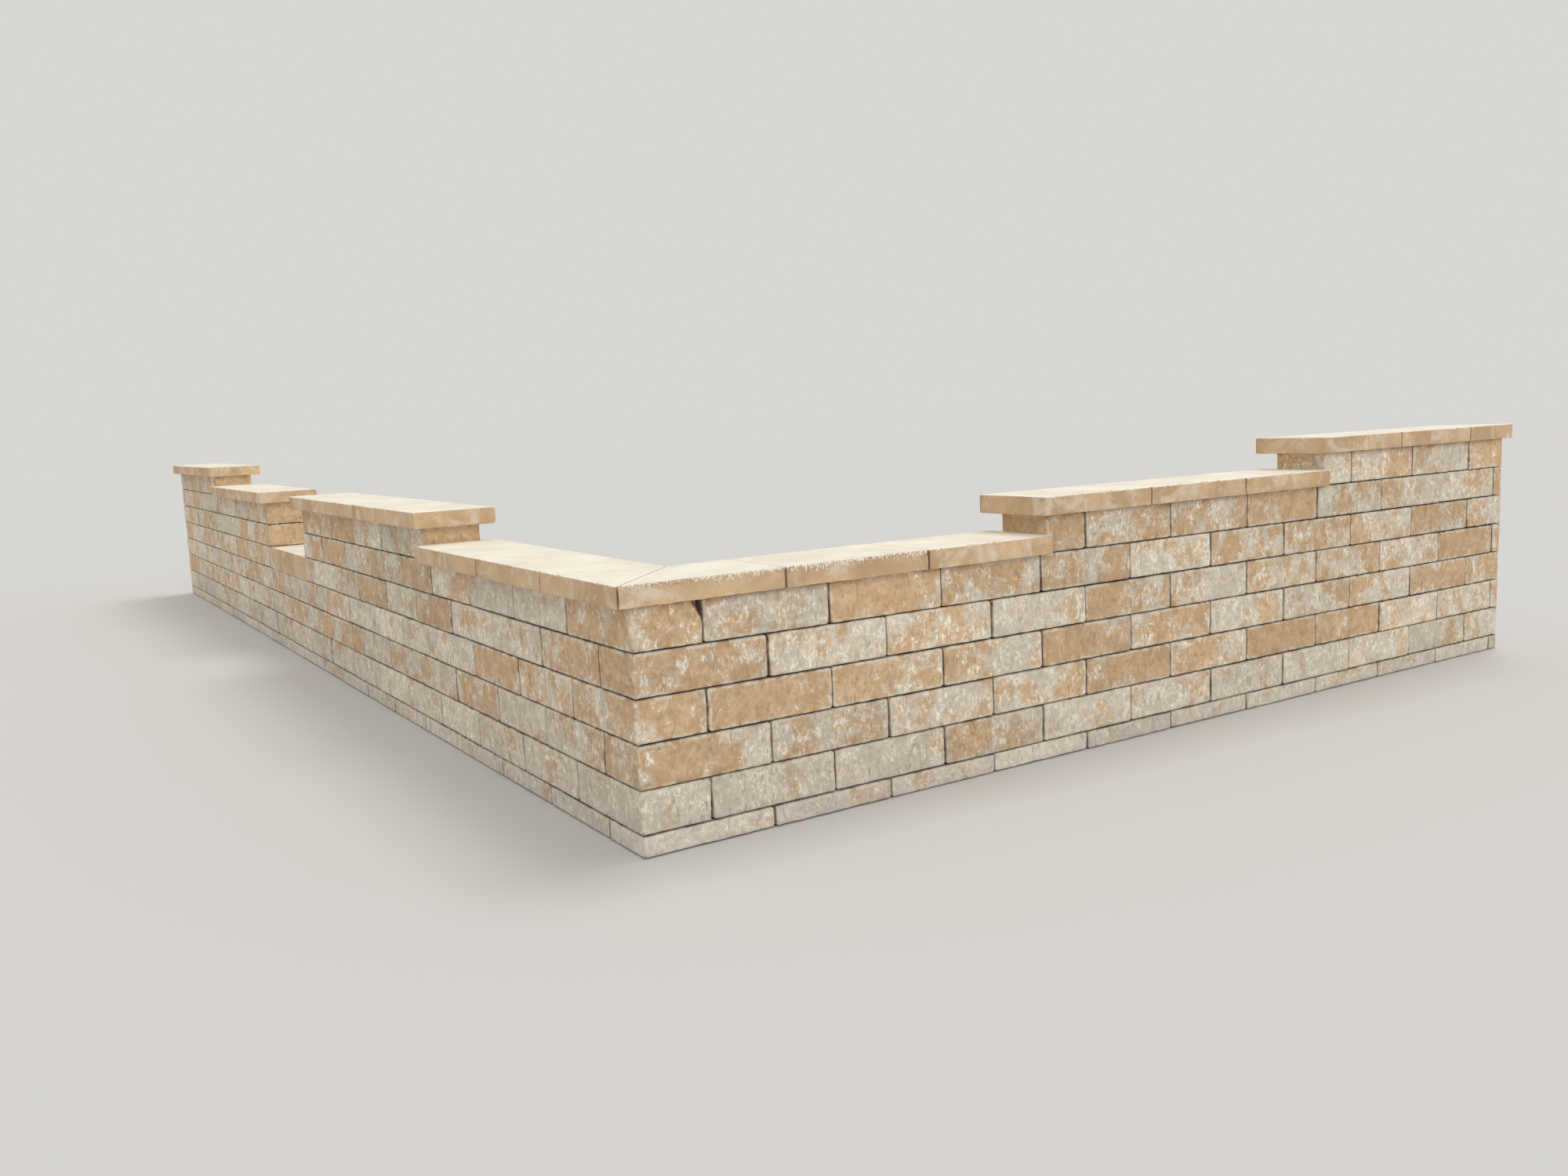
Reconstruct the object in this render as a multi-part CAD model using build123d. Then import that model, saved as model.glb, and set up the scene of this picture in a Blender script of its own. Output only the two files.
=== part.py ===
"""Natural stone garden wall: two wings meeting at a square corner, stepped copings, entrance gap.

Millimetres, +Z up. The origin is at base level, where the centre lines of the two wings cross.
The short wing runs along +Y and the long wing along -X. Their outer faces look to +X and -Y.

Each wing is drawn along local +X with its outer face to -Y, with lengths measured from the
outer corner, and is then turned or mirrored to its place.
"""
import os
from build123d import *

os.makedirs("parts", exist_ok=True)

# Walling stones: split blocks in half bond, with a pitched margin round every face
COURSE_HEIGHT = 150.0
BASE_COURSE_HEIGHT = 75.0
WALL_THICKNESS = 260.0
STONE_PITCH = 505.5
SHORTEST_STONE = 70.0
PITCHED_MARGIN = 7.0

# Coping slabs: sawn stone, with open joints and eased arrises. They overhang the outer faces of
# the two wings and every open end, and what is left of their width overhangs the back.
COPING_WIDTH = 380.0
COPING_THICKNESS = 75.0
SHORT_WING_OVERHANG = 30.0
LONG_WING_OVERHANG = 55.0
END_OVERHANG = 40.0
COPING_JOINT = 4.0
COPING_ARRIS = 5.0

# Lengths from the outer corner to each rise, end and side of the entrance
SHORT_MID_RISE = 1815.0
SHORT_HIGH_RISE = 3590.0
SHORT_END = 5130.0
LONG_NEAR_RISE = 2065.0
ENTRANCE_START = 4520.0
ENTRANCE_END = 5540.0
LONG_TOP_RISE = 7440.0
LONG_END = 9420.0

# Joints between the coping slabs of each level
SHORT_LOW_JOINTS = [575.0, 1195.0]
SHORT_MID_JOINTS = [2380.0, 2985.0]
SHORT_HIGH_JOINTS = [4160.0, 4770.0]
LONG_LOW_JOINTS = [600.0, 1260.0]
LONG_NEAR_JOINTS = [2660.0, 3290.0, 3920.0]
LONG_FAR_JOINTS = [6150.0, 6800.0]
LONG_TOP_JOINTS = [8060.0, 8750.0]

# Corner broken off the end stone of course 6, beside the first upright joint of the short wing
BREAK_WIDTH = 40.0
BREAK_HEIGHT = 70.0
BREAK_DEPTH = 35.0

HALF_WALL = WALL_THICKNESS / 2


def bed_level(course):
    """Level of the bed under a course. Courses are counted from 1 at the base."""
    return 0.0 if course == 1 else BASE_COURSE_HEIGHT + COURSE_HEIGHT * (course - 2)


LOW_COPING_BED = bed_level(7)
MID_COPING_BED = bed_level(8)
HIGH_COPING_BED = bed_level(9)


def block(start, end, front, back, bottom, top):
    """Plain block along local +X, between its front and back faces and two levels."""
    middle = Pos((start + end) / 2 - HALF_WALL, (front + back) / 2, (bottom + top) / 2)
    return middle * Box(end - start, back - front, top - bottom)


def is_outside(edge, front, back):
    """True for an edge that lies in the front or back face of a block."""
    return min(abs(edge.center().Y - front), abs(edge.center().Y - back)) < 0.01


def walling_stone(start, end, course, open_start, open_end):
    """One split block. Its front, its back and any open end have a pitched margin."""
    stone = block(start, end, -HALF_WALL, HALF_WALL, bed_level(course), bed_level(course + 1))
    open_ends = []
    if open_start:
        open_ends.append(start - HALF_WALL)
    if open_end:
        open_ends.append(end - HALF_WALL)
    margins = [
        edge
        for edge in stone.edges()
        if is_outside(edge, -HALF_WALL, HALF_WALL)
        or any(abs(edge.center().X - x) < 0.01 for x in open_ends)
    ]
    return chamfer(margins, PITCHED_MARGIN)


def upright_joints(course, start, end, through):
    """Joints of a course in half bond, leaving out any that would cut a sliver off its ends."""
    first = STONE_PITCH if through else WALL_THICKNESS
    count = int(LONG_END / STONE_PITCH) + 1
    places = [first + STONE_PITCH * number for number in range(count)]
    return [x for x in places if start + SHORTEST_STONE < x < end - SHORTEST_STONE]


def course_of_stones(course, start, end, through, open_start=True):
    """The stones of one course, laid end to end as one solid."""
    places = [start] + upright_joints(course, start, end, through) + [end]
    stones = [
        walling_stone(left, right, course, open_start and left == start, right == end)
        for left, right in zip(places, places[1:])
    ]
    return stones[0].fuse(*stones[1:]) if len(stones) > 1 else stones[0]


def on_short_wing(shape):
    """Turn a local shape so that it runs along +Y with its outer face to +X."""
    return Rot(0, 0, 90) * shape


def on_long_wing(shape):
    """Mirror a local shape so that it runs along -X with its outer face to -Y."""
    return mirror(shape, about=Plane.YZ)


def short_course(course, start=0.0):
    """A course of the short wing. The odd ones run through the corner and show an end there."""
    through = course % 2 == 1
    at_corner = start == 0.0
    if at_corner and not through:
        start = WALL_THICKNESS
    open_start = through or not at_corner
    return on_short_wing(course_of_stones(course, start, SHORT_END, through, open_start))


def long_course(course, start=0.0, end=LONG_END):
    """A course of the long wing. The even ones run through the corner."""
    through = course % 2 == 0
    at_corner = start == 0.0
    if at_corner and not through:
        start = WALL_THICKNESS
    open_start = through or not at_corner
    return on_long_wing(course_of_stones(course, start, end, through, open_start))


def coping_slab(start, end, overhang):
    """One slab along local +X, with eased arrises."""
    front = -HALF_WALL - overhang
    back = front + COPING_WIDTH
    slab = block(start, end, front, back, 0, COPING_THICKNESS)
    long_edges = [edge for edge in slab.edges().filter_by(Axis.X) if is_outside(edge, front, back)]
    return chamfer(long_edges, COPING_ARRIS)


def mitred(slab, start, overhang):
    """Cut a slab at 45 degrees, inwards from the outer corner of the coping."""
    corner = (start - HALF_WALL, -HALF_WALL - overhang, 0)
    diagonal = Plane(origin=corner, z_dir=(1, -1, 0)).offset(COPING_JOINT / 2)
    return split(slab, bisect_by=diagonal, keep=Keep.TOP)


def coping_run(place, overhang, start, end, joints, bed, from_corner=False):
    """The slabs of one level in order from the outer corner."""
    edges = [start] + joints + [end]
    slabs = []
    for left, right in zip(edges, edges[1:]):
        gap_left = 0 if left == start else COPING_JOINT / 2
        gap_right = 0 if right == end else COPING_JOINT / 2
        slab = coping_slab(left + gap_left, right - gap_right, overhang)
        if from_corner and left == start:
            slab = mitred(slab, start, overhang)
        slabs.append(place(Pos(0, 0, bed) * slab))
    return slabs


def entrance_step():
    """Block step between the two sides of the entrance, one course below the paths it joins."""
    front, back = -HALF_WALL, HALF_WALL
    step = block(ENTRANCE_START, ENTRANCE_END, front, back, bed_level(5), bed_level(6))
    treads = [edge for edge in step.edges().filter_by(Axis.X) if is_outside(edge, front, back)]
    return on_long_wing(chamfer(treads, PITCHED_MARGIN))


def broken_corner():
    """Wedge that is missing from the end of the long wing's course 6, under the low coping."""
    top = LOW_COPING_BED
    with BuildPart() as wedge:
        with BuildSketch(Plane.YZ.offset(HALF_WALL)):
            with BuildLine():
                Polyline(
                    (HALF_WALL, top),
                    (HALF_WALL - BREAK_WIDTH, top),
                    (HALF_WALL, top - BREAK_HEIGHT),
                    close=True,
                )
            make_face()
        extrude(amount=-BREAK_DEPTH)
    return wedge.part


pieces = {}

# Walling of the short wing
for course in range(1, 7):
    pieces[f"short_course_{course}"] = short_course(course)
pieces["short_course_7"] = short_course(7, start=SHORT_MID_RISE)
pieces["short_course_8"] = short_course(8, start=SHORT_HIGH_RISE)

# Walling of the long wing, whole below the entrance and in two lengths beside it
for course in range(1, 5):
    pieces[f"long_course_{course}"] = long_course(course)
for course in (5, 6):
    pieces[f"long_near_course_{course}"] = long_course(course, end=ENTRANCE_START)
    pieces[f"long_far_course_{course}"] = long_course(course, start=ENTRANCE_END)
pieces["long_near_course_6"] -= broken_corner()
pieces["long_near_course_7"] = long_course(7, start=LONG_NEAR_RISE, end=ENTRANCE_START)
pieces["long_far_course_7"] = long_course(7, start=ENTRANCE_END)
pieces["long_far_course_8"] = long_course(8, start=LONG_TOP_RISE)
pieces["entrance_step"] = entrance_step()

# Copings overhang every open end, and butt against the wall where it rises
short_wing = (on_short_wing, SHORT_WING_OVERHANG)
long_wing = (on_long_wing, LONG_WING_OVERHANG)
copings = {
    "short_low_coping": coping_run(
        *short_wing,
        start=-LONG_WING_OVERHANG,
        end=SHORT_MID_RISE,
        joints=SHORT_LOW_JOINTS,
        bed=LOW_COPING_BED,
        from_corner=True,
    ),
    "short_mid_coping": coping_run(
        *short_wing,
        start=SHORT_MID_RISE - END_OVERHANG,
        end=SHORT_HIGH_RISE,
        joints=SHORT_MID_JOINTS,
        bed=MID_COPING_BED,
    ),
    "short_high_coping": coping_run(
        *short_wing,
        start=SHORT_HIGH_RISE - END_OVERHANG,
        end=SHORT_END + END_OVERHANG,
        joints=SHORT_HIGH_JOINTS,
        bed=HIGH_COPING_BED,
    ),
    "long_low_coping": coping_run(
        *long_wing,
        start=-SHORT_WING_OVERHANG,
        end=LONG_NEAR_RISE,
        joints=LONG_LOW_JOINTS,
        bed=LOW_COPING_BED,
        from_corner=True,
    ),
    "long_near_coping": coping_run(
        *long_wing,
        start=LONG_NEAR_RISE - END_OVERHANG,
        end=ENTRANCE_START + END_OVERHANG,
        joints=LONG_NEAR_JOINTS,
        bed=MID_COPING_BED,
    ),
    "long_far_coping": coping_run(
        *long_wing,
        start=ENTRANCE_END - END_OVERHANG,
        end=LONG_TOP_RISE,
        joints=LONG_FAR_JOINTS,
        bed=MID_COPING_BED,
    ),
    "long_top_coping": coping_run(
        *long_wing,
        start=LONG_TOP_RISE - END_OVERHANG,
        end=LONG_END + END_OVERHANG,
        joints=LONG_TOP_JOINTS,
        bed=HIGH_COPING_BED,
    ),
}
for name, slabs in copings.items():
    for number, slab in enumerate(slabs, start=1):
        pieces[f"{name}_{number}"] = slab

for node, shape in pieces.items():
    export_step(shape, f"parts/{node}.step")
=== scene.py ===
"""Natural stone garden wall: split walling stones, hewn coping slabs and an entrance step.

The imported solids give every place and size. Metres, +Z up. The origin is at base level, where the
centre lines of the two wings cross. The short wing runs along +Y with its outer face to +X, and the
long wing runs along -X with its outer face to -Y.
"""

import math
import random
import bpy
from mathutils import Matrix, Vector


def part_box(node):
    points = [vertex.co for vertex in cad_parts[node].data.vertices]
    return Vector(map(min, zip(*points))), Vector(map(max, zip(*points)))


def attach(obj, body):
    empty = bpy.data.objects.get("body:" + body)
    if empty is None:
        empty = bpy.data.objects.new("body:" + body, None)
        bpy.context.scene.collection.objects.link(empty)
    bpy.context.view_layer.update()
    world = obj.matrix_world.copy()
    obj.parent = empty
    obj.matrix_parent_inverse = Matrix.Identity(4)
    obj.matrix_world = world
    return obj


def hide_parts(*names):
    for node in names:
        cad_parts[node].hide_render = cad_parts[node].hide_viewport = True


bl_info = {
    "name": "Natural Stone Garden Wall",
    "version": (1, 0, 0),
    "blender": (4, 5, 0),
    "location": "View3D > Sidebar > Stone Wall",
    "description": "Lays split walling, coping slabs and a step over the wall's solids",
    "category": "Object",
}

import bmesh
import bpy
from bpy.props import FloatProperty, FloatVectorProperty, IntProperty, PointerProperty
from mathutils import Euler, Matrix, Vector

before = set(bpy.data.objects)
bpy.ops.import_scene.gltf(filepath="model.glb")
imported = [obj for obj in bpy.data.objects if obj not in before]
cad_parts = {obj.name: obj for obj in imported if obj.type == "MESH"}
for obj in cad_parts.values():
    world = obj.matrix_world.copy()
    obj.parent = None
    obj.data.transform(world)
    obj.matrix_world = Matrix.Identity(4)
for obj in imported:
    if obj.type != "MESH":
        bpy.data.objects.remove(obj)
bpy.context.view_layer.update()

# Bond of the walling, as the solids have it
STONE_PITCH = 0.5055
WALL_THICKNESS = 0.260
HALF_WALL = WALL_THICKNESS / 2
SHORTEST_STONE = 0.070
LONGEST_WING = 9.42

# Joint between two coping slabs, as the solids have it
SLAB_JOINT = 0.004

# Corner broken off the end stone of the long wing under the low coping, a little larger than the
# wedge that the solid lacks
BREAK_NODE = "long_near_course_6"
BREAK_TOP = 0.825
BREAK_WIDTH = 0.044
BREAK_HEIGHT = 0.072
BREAK_DEPTH = 0.040
BREAK_STEEPNESS = 2.2

# The two slabs whose edges are roughly hewn, the two that are worn at the back, and the two that
# meet in a mitre
HEWN_SLABS = ("short_low_coping_1", "short_low_coping_2")
WORN_SLABS = ("long_near_coping_1", "long_far_coping_1")
MITRED_SLABS = ("short_low_coping_1", "long_low_coping_1")

# Spacing of the cuts that carry the relief
WALLING_CELL = 0.014
SLAB_CELL = 0.011
HEWN_SLAB_CELL = 0.006

# Size of the clouds that each relief is pressed from
SWELL_SIZE = 0.11
FLAKE_SIZE = 0.035
EDGE_SWELL_SIZE = 0.05
TOOL_MARK_SIZE = 0.012
CHIP_SIZE = 0.014
STEP_SWELL_SIZE = 0.08

# Levels of the clouds below which a dip has its full depth, and above which there is none
TOOL_MARK_RANGE = (0.35, 0.55)
CHIP_RANGE = (0.25, 0.5)

# The other slabs have fewer chips than the roughly hewn ones, and shallower ones
FEWER_CHIPS = 0.5
SHALLOWER_CHIPS = 3

# How far a worn edge reaches into the faces beside it, in widths of the arris
EDGE_REACH = 1.2

# Places nearer to each other than this are the same, and directions whose dot product is above
# this are the same
CLOSE = 0.001
SAME_WAY = 0.99

# How far a stone leans about its length, its depth and its height, as a spread in radians
LEANS = (0.004, 0.0008, 0.003)

# How pale a stone is, from 0 for wholly ochre to 1 for wholly pale, and how much paler it may be
# at one end than at the other. Dust makes the two lowest courses paler.
SHARE_LOW, SHARE_HIGH, SHARE_USUAL = -0.1, 1.1, 0.5
MOST_TILT = 0.8
OCHRE_CHANCE = 0.12
OCHRE_SHARE = -0.3
LEAST_BASE_SHARE = 0.3
DUST_SHARE = 0.4

# How far the pattern is moved on a stone at most, so that no two show the same piece of it
MOST_SHIFT = 20

# How pale the stones nearest the outer corner are as judged, and how much paler each gets from its
# left end to its right end
NEAR_STONES = {
    ("short_course_6", 1): (0.62, -0.1),
    ("short_course_6", 2): (-0.3, 0.0),
    ("short_course_6", 3): (0.50, 0.7),
    ("short_course_5", 1): (0.20, 0.9),
    ("short_course_5", 2): (0.55, 0.5),
    ("short_course_5", 3): (0.45, 0.1),
    ("short_course_5", 4): (0.85, 0.0),
    ("short_course_4", 1): (-0.3, 0.0),
    ("short_course_4", 2): (0.10, 0.7),
    ("short_course_4", 3): (0.40, 1.0),
    ("short_course_4", 4): (-0.3, 0.0),
    ("short_course_3", 1): (0.25, 0.6),
    ("short_course_3", 2): (0.65, 0.0),
    ("short_course_3", 3): (0.70, -0.2),
    ("short_course_2", 1): (1.00, 0.0),
    ("short_course_2", 2): (0.90, 0.0),
    ("short_course_2", 3): (0.40, 1.2),
    ("long_near_course_6", 1): (0.05, 0.0),
    ("long_near_course_6", 2): (1.00, 0.0),
    ("long_near_course_6", 3): (0.70, -0.2),
    ("long_near_course_6", 4): (0.45, 0.0),
    ("long_near_course_5", 1): (0.20, 0.5),
    ("long_near_course_5", 2): (0.75, 0.0),
    ("long_near_course_5", 3): (0.80, 0.0),
    ("long_near_course_5", 4): (0.10, -0.2),
    ("long_course_4", 1): (0.15, 0.0),
    ("long_course_4", 2): (0.25, 0.2),
    ("long_course_4", 3): (0.00, 0.0),
    ("long_course_4", 4): (0.95, 0.0),
    ("long_course_3", 1): (0.60, -0.4),
    ("long_course_3", 2): (0.90, 0.0),
    ("long_course_2", 1): (1.05, 0.0),
}

# The photograph's viewpoint: place, heading, dip below the level and roll, and the lens
CAMERA_PLACE = (3.7121, -1.8466, 1.3968)
CAMERA_HEADING = 1.0004268
CAMERA_DIP = 0.1336082
CAMERA_ROLL = -0.0435795
FOCAL_LENGTH = 29.06
SENSOR_WIDTH = 36.0

# Middle of the floor, and the directions that the two lights come from
FLOOR_PLACE = (-4, 2, 0)
KEY_FROM = (-0.10, 0.42, 1.0)
FILL_FROM = (1.0, -0.25, 0.7)

# Faces that meet at less than this are smoothed into each other
SMOOTH_ANGLE = math.radians(40)


def linear(colour):
    """Turn an sRGB hex colour into linear red, green and blue."""
    parts = [int(colour[i : i + 2], 16) / 255 for i in (1, 3, 5)]
    return tuple(p / 12.92 if p <= 0.04045 else ((p + 0.055) / 1.055) ** 2.4 for p in parts)


class WallingSettings(bpy.types.PropertyGroup):
    """Sizes of the split walling stones"""

    joint: FloatProperty(
        name="Bed Joint",
        description="Height of the open joint between two courses",
        default=0.0035,
        unit="LENGTH",
    )
    upright_joint: FloatProperty(
        name="Upright Joint",
        description="Width of the open joint between two stones of a course",
        default=0.005,
        unit="LENGTH",
    )
    joint_depth: FloatProperty(
        name="Joint Depth",
        description="How far the bedding stands back from the faces",
        default=0.028,
        unit="LENGTH",
    )
    arris: FloatProperty(
        name="Arris",
        description="Width of the worn edge round each split face",
        default=0.006,
        unit="LENGTH",
    )
    corner: FloatProperty(
        name="Corner",
        description="Rounding of the corners of each split face",
        default=0.013,
        unit="LENGTH",
    )
    quoin: FloatProperty(
        name="Quoin",
        description="Width of the worn upright edge between two split faces",
        default=0.009,
        unit="LENGTH",
    )
    broad_relief: FloatProperty(
        name="Broad Relief",
        description="Depth of the slow swells of a split face",
        default=0.009,
        unit="LENGTH",
    )
    fine_relief: FloatProperty(
        name="Fine Relief",
        description="Depth of the small flakes of a split face",
        default=0.004,
        unit="LENGTH",
    )
    worn_relief: FloatProperty(
        name="Worn Relief",
        description="Depth of the uneven places that go on round the worn edges",
        default=0.005,
        unit="LENGTH",
    )
    tolerance: FloatProperty(
        name="Laying Tolerance",
        description="How far a stone may stand forward of or behind its neighbours",
        default=0.0025,
        unit="LENGTH",
    )
    seed: IntProperty(
        name="Seed",
        description="Start of the random choices for the stones",
        default=12,
    )


class CopingSettings(bpy.types.PropertyGroup):
    """Sizes of the coping slabs and the entrance step"""

    arris: FloatProperty(
        name="Arris",
        description="Width of the eased edges of a slab",
        default=0.004,
        unit="LENGTH",
    )
    edge_relief: FloatProperty(
        name="Edge Relief",
        description="Depth of the uneven places in a slab's edge",
        default=0.003,
        unit="LENGTH",
    )
    hewn_relief: FloatProperty(
        name="Hewn Relief",
        description="Depth of the swells in a roughly hewn edge",
        default=0.005,
        unit="LENGTH",
    )
    hewn_band: FloatProperty(
        name="Hewn Band",
        description="How far the chips reach down from the top of an edge",
        default=0.032,
        unit="LENGTH",
    )
    tool_marks: FloatProperty(
        name="Tool Marks",
        description="Depth of the tool marks along the top of a roughly hewn edge",
        default=0.004,
        unit="LENGTH",
    )
    chips: FloatProperty(
        name="Chips",
        description="Depth of the chips along the top of a roughly hewn edge",
        default=0.009,
        unit="LENGTH",
    )
    worn_back: FloatProperty(
        name="Worn Back",
        description="Rounding of the back edges of the two slabs that are worn there",
        default=0.016,
        unit="LENGTH",
    )
    step_relief: FloatProperty(
        name="Step Relief",
        description="Depth of the slow swells in the two faces of the entrance step",
        default=0.005,
        unit="LENGTH",
    )


class ColourSettings(bpy.types.PropertyGroup):
    """Colours of the stone, the bedding and the studio"""

    ochre: FloatVectorProperty(
        name="Ochre",
        description="Iron-stained stone",
        default=linear("#D3B48E"),
        subtype="COLOR",
    )
    ochre_deep: FloatVectorProperty(
        name="Deep Ochre",
        description="Darker clouds in the iron-stained stone",
        default=linear("#C6A47D"),
        subtype="COLOR",
    )
    pale: FloatVectorProperty(
        name="Pale",
        description="Unstained stone",
        default=linear("#DBCFBA"),
        subtype="COLOR",
    )
    grey: FloatVectorProperty(
        name="Grey",
        description="Weathered grey skin on the unstained stone",
        default=linear("#CDC2B0"),
        subtype="COLOR",
    )
    fleck: FloatVectorProperty(
        name="Fleck",
        description="Small shell flecks and bruises",
        default=linear("#F3ECDE"),
        subtype="COLOR",
    )
    dust: FloatVectorProperty(
        name="Dust",
        description="Dust and splashed dirt near the base",
        default=linear("#CCC6BB"),
        subtype="COLOR",
    )
    edge: FloatVectorProperty(
        name="Coping Edge",
        description="Hewn edges of the coping slabs",
        default=linear("#D6B68E"),
        subtype="COLOR",
    )
    edge_grey: FloatVectorProperty(
        name="Coping Edge Grey",
        description="Greyer places in the hewn edges",
        default=linear("#BF9F79"),
        subtype="COLOR",
    )
    hollow: FloatVectorProperty(
        name="Hollow",
        description="Shaded hollows between the chips of the coping edges",
        default=linear("#A4875F"),
        subtype="COLOR",
    )
    # Fresh chips, lightened further as a painted highlight where they catch the light
    chip: FloatVectorProperty(
        name="Chip",
        description="Fresh chips along the top of the coping edges",
        default=linear("#FBF3E4"),
        subtype="COLOR",
    )
    # Paler than the hewn edges, partly as painted sunlight on the tops
    sawn: FloatVectorProperty(
        name="Sawn Top",
        description="Sawn and bleached tops of the coping slabs",
        default=linear("#EEE6D5"),
        subtype="COLOR",
    )
    sawn_shade: FloatVectorProperty(
        name="Sawn Top Shade",
        description="Faint clouds in the sawn tops, and pale places in the hewn edges",
        default=linear("#E3D9C5"),
        subtype="COLOR",
    )
    # Soil on the sides of the joints, with painted shade there too
    soil: FloatVectorProperty(
        name="Soil",
        description="Soiled sides of the joints",
        default=linear("#62554A"),
        subtype="COLOR",
    )
    bedding: FloatVectorProperty(
        name="Bedding",
        description="Bedding at the bottom of the joints",
        default=linear("#3A3029"),
        subtype="COLOR",
    )
    floor: FloatVectorProperty(
        name="Floor",
        description="Studio floor",
        default=linear("#CBC9C5"),
        subtype="COLOR",
    )
    backdrop: FloatVectorProperty(
        name="Backdrop",
        description="Studio backdrop, as the camera sees it",
        default=linear("#D8D7D3"),
        subtype="COLOR",
    )


class StageSettings(bpy.types.PropertyGroup):
    """Floor, light and camera"""

    floor_size: FloatProperty(
        name="Floor Size",
        description="Side of the square floor",
        default=120.0,
        unit="LENGTH",
    )
    sky: FloatProperty(
        name="Sky",
        description="Strength of the even light from all round",
        default=0.68,
    )
    key: FloatProperty(
        name="Key",
        description="Strength of the soft light from above and behind",
        default=1.0,
    )
    fill: FloatProperty(
        name="Fill",
        description="Strength of the soft light in front",
        default=0.85,
    )
    spread: FloatProperty(
        name="Spread",
        description="Width of the two lights as seen from the wall",
        default=math.radians(30),
        subtype="ANGLE",
    )


def add_node(tree, kind, inputs=None, output=0, **settings):
    """Add a shader node and give one of its outputs. An input is a value or a socket to link."""
    node = tree.nodes.new(f"ShaderNode{kind}")
    for name, value in settings.items():
        setattr(node, name, value)
    for name, value in (inputs or {}).items():
        socket = node.inputs[name]
        if isinstance(value, bpy.types.NodeSocket):
            tree.links.new(value, socket)
        elif socket.type == "RGBA":
            socket.default_value = (*value, 1)
        else:
            socket.default_value = value
    return node.outputs[output]


def new_material(name, roughness, ior):
    """A material with its surface shader, ready for nodes that give its colour and bump."""
    material = bpy.data.materials.new(name)
    material.use_nodes = True
    surface = material.node_tree.nodes["Principled BSDF"]
    surface.inputs["Roughness"].default_value = roughness
    surface.inputs["IOR"].default_value = ior
    return material, material.node_tree, surface


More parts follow.
